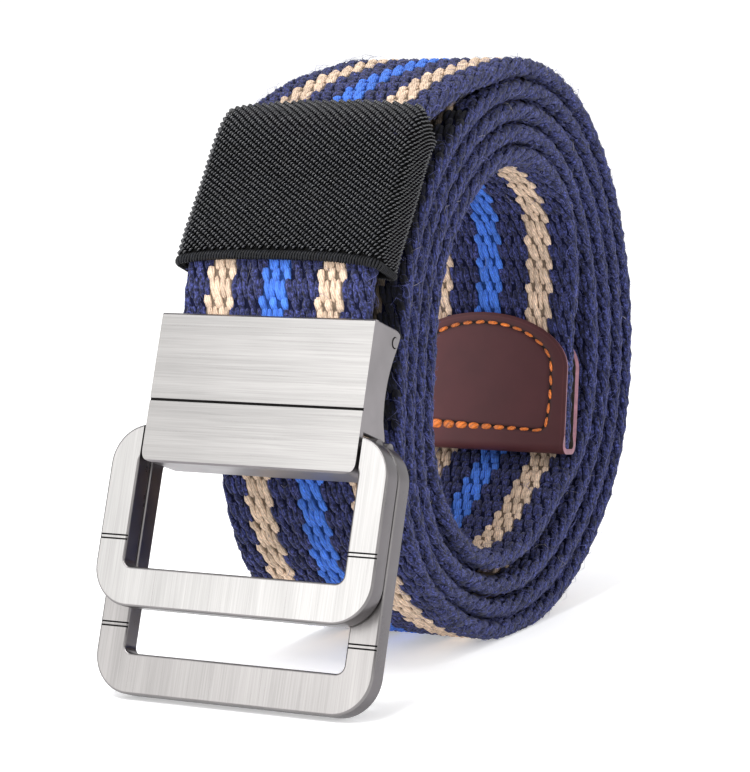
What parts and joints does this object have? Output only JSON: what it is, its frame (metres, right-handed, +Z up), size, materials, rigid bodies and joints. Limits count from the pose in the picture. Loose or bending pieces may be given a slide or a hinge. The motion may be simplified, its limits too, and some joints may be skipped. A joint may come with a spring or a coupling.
{
  "type": "canvas belt",
  "caption": "Striped canvas belt wound into an upright coil, with an elastic keeper loop, a leather-wrapped free end and a flat buckle with two hinged rectangular rings.",
  "frame": {"origin": "middle of the belt's footprint, on the surface it stands on", "axes": "+X across the webbing, +Y from the buckle to the back of the coil, +Z up"},
  "size_m": [0.0568, 0.14, 0.1133],
  "materials": {
    "striped_webbing": "chunky woven canvas webbing, navy with two khaki stripes and one blue stripe",
    "black_elastic": "fine diagonal twill elastic, matt",
    "brown_leather": "smooth brown leather with orange stitching",
    "housing_metal": "brushed satin nickel",
    "jaw_metal": "plain satin",
    "pin_metal": "plain satin",
    "front_ring_metal": "brushed satin nickel, darker in the lines and on the sides",
    "back_ring_metal": "brushed satin nickel, darker in the lines and on the sides"
  },
  "bodies": {
    "belt": {"webbing_strap": "striped_webbing", "elastic_loop": "black_elastic", "leather_tip": "brown_leather", "buckle_housing": "housing_metal", "clamp_jaw": "jaw_metal", "clamp_pin": "pin_metal"},
    "front_ring_body": {"front_ring": "front_ring_metal"},
    "back_ring_body": {"back_ring": "back_ring_metal"}
  },
  "joints": [
    {"name": "front_ring_hinge", "type": "hinge", "parent": "belt", "child": "front_ring_body", "pos_m": [0, -0.05652, 0.04657], "axis": [-1, 0, 0], "range_deg": [0, 90]},
    {"name": "back_ring_hinge", "type": "hinge", "parent": "belt", "child": "back_ring_body", "pos_m": [0, -0.05259, 0.04521], "axis": [1, 0, 0], "range_deg": [0, 20]}
  ]
}
